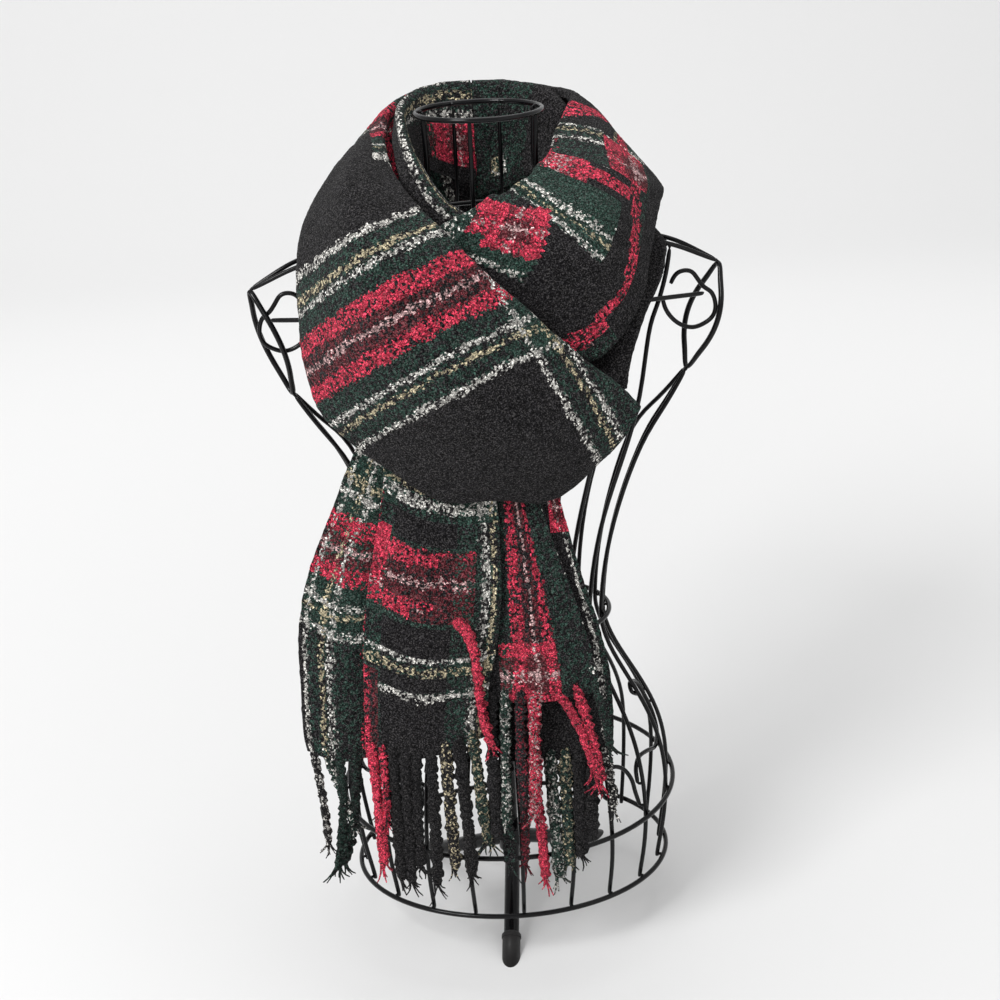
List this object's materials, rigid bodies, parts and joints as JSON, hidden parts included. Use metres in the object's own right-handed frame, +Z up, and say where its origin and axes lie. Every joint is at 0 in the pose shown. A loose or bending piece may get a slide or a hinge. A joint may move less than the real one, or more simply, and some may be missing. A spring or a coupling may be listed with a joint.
{
  "type": "blanket scarf on a wire dress form",
  "caption": "Tartan boucle blanket scarf with twisted fringe, wound round the neck of a free-standing limbless black wire dress form.",
  "frame": {"origin": "on the floor, under the middle of the object, in line with the form's pole", "axes": "+Z up; -Y is the front, where the tails of the scarf hang; +X is the viewer's right when facing the front"},
  "size_m": [0.3894, 0.3151, 0.7335],
  "materials": {
    "boucle_tartan": "brushed boucle in charcoal, bottle green, crimson, off-white and cream tartan",
    "black_enamel": "gloss black enamel on round steel wire",
    "black_rubber": "matt moulded rubber"
  },
  "bodies": {
    "root": {"cap_left": "black_enamel", "cap_right": "black_enamel", "cap_scroll_left": "black_enamel", "cap_scroll_right": "black_enamel", "foot_1": "black_rubber", "foot_2": "black_rubber", "foot_3": "black_rubber", "fringe_left_back": "boucle_tartan", "fringe_left_front": "boucle_tartan", "fringe_right_back": "boucle_tartan", "fringe_right_front": "boucle_tartan", "hip_scroll_front_left": "black_enamel", "hip_scroll_front_right": "black_enamel", "hip_scroll_side_left": "black_enamel", "hip_scroll_side_right": "black_enamel", "neck_bar": "black_enamel", "neck_wire_back_left": "black_enamel", "neck_wire_back_right": "black_enamel", "neck_wire_front": "black_enamel", "pole": "black_enamel", "ring_bottom": "black_enamel", "ring_hip": "black_enamel", "ring_neck": "black_enamel", "ring_waist": "black_enamel", "scarf_crossing": "boucle_tartan", "scarf_front_loop": "boucle_tartan", "scarf_neck_roll": "boucle_tartan", "scarf_right_loop": "boucle_tartan", "scarf_tail_left_back": "boucle_tartan", "scarf_tail_left_front": "boucle_tartan", "scarf_tail_right_back": "boucle_tartan", "scarf_tail_right_front": "boucle_tartan", "shoulder_back_left": "black_enamel", "shoulder_back_right": "black_enamel", "shoulder_front_left": "black_enamel", "shoulder_front_right": "black_enamel", "tassel_loose": "boucle_tartan", "tripod": "black_enamel", "upright_000": "black_enamel", "upright_018_left": "black_enamel", "upright_018_right": "black_enamel", "upright_036_left": "black_enamel", "upright_036_right": "black_enamel", "upright_054_left": "black_enamel", "upright_054_right": "black_enamel", "upright_072_left": "black_enamel", "upright_072_right": "black_enamel", "upright_090_left": "black_enamel", "upright_090_right": "black_enamel", "upright_108_left": "black_enamel", "upright_108_right": "black_enamel", "upright_126_left": "black_enamel", "upright_126_right": "black_enamel", "upright_144_left": "black_enamel", "upright_144_right": "black_enamel", "upright_162_left": "black_enamel", "upright_162_right": "black_enamel", "upright_180": "black_enamel", "yoke_wire": "black_enamel"}
  },
  "joints": []
}
